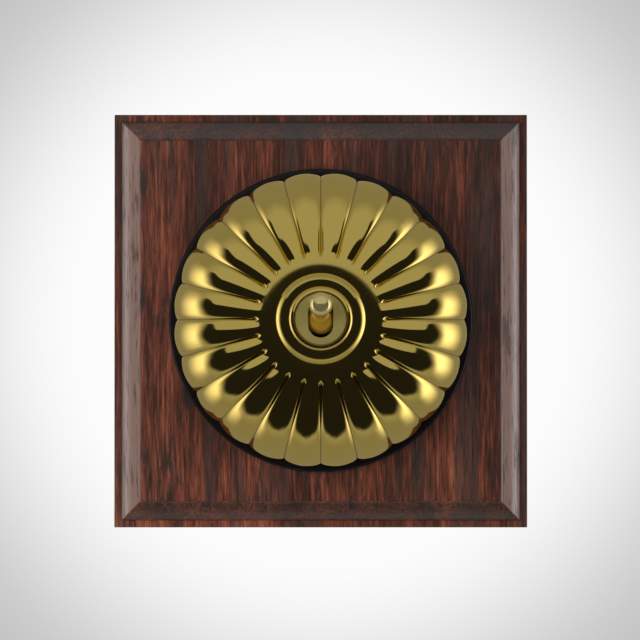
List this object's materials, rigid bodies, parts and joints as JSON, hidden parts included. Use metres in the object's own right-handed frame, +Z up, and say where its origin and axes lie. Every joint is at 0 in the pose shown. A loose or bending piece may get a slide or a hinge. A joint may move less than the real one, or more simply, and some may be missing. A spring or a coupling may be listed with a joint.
{
  "type": "dolly light switch",
  "caption": "Period toggle light switch: a fluted brass dome with a ball-ended brass lever, on a round black base fixed to a square moulded dark oak block.",
  "frame": {"origin": "middle of the block's back face, which lies on the wall, midway between the two wall-fixing holes", "axes": "X to the viewer's right, Z up, +Y into the wall, so the switch faces -Y"},
  "size_m": [0.1, 0.0597, 0.1],
  "materials": {
    "stained_oak": "dark brown stain under a thin satin varnish, upright grain",
    "black_moulding": "black, moulded glossy",
    "polished_brass": "mirror polished",
    "satin_brass": "fine turned or rolled",
    "bright_steel": "bright zinc",
    "spring_steel": "drawn spring wire",
    "silver": "fine silver, plain",
    "insulator": "natural moulded insulator",
    "brown_moulding": "dark brown moulding compound",
    "fibre": "red vulcanised fibre"
  },
  "bodies": {
    "switch_base": {"oak_block": "stained_oak", "mount_base": "black_moulding", "base_screws": "bright_steel", "dome_cover": "polished_brass", "cover_ring": "polished_brass", "bush": "satin_brass", "pivot_pin": "bright_steel", "rocker_pin": "bright_steel", "common_terminal": "satin_brass", "upper_terminal": "satin_brass", "lower_terminal": "satin_brass", "fixed_contacts": "silver", "switch_body": "brown_moulding", "insulating_plate": "fibre", "yoke": "satin_brass", "yoke_screws": "bright_steel", "terminal_screws": "satin_brass", "clamp_washers": "satin_brass", "earth_screw": "satin_brass"},
    "dolly": {"dolly": "polished_brass", "plunger_spring": "spring_steel"},
    "plunger": {"plunger": "insulator"},
    "rocker": {"rocker": "satin_brass", "moving_contacts": "silver"}
  },
  "joints": [
    {"name": "dolly_tilt", "type": "hinge", "parent": "switch_base", "child": "dolly", "pos_m": [0, -0.04407, 0], "axis": [1, 0, 0], "range_deg": [0, 28]},
    {"name": "rocker_tilt", "type": "hinge", "parent": "switch_base", "child": "rocker", "pos_m": [0, -0.02745, 0], "axis": [1, 0, 0], "range_deg": [-42.13, 0]},
    {"name": "plunger_slide", "type": "slide", "parent": "dolly", "child": "plunger", "axis": [0, 0.9703, -0.2419], "range_m": [0, 0.000876], "stiffness_N_per_m": 200, "springref_m": 0.0012, "deforming": ["plunger_spring"]}
  ],
  "couplings": [
    {"joint": "rocker_tilt", "follows": "dolly_tilt", "ratio": -1.5046}
  ]
}
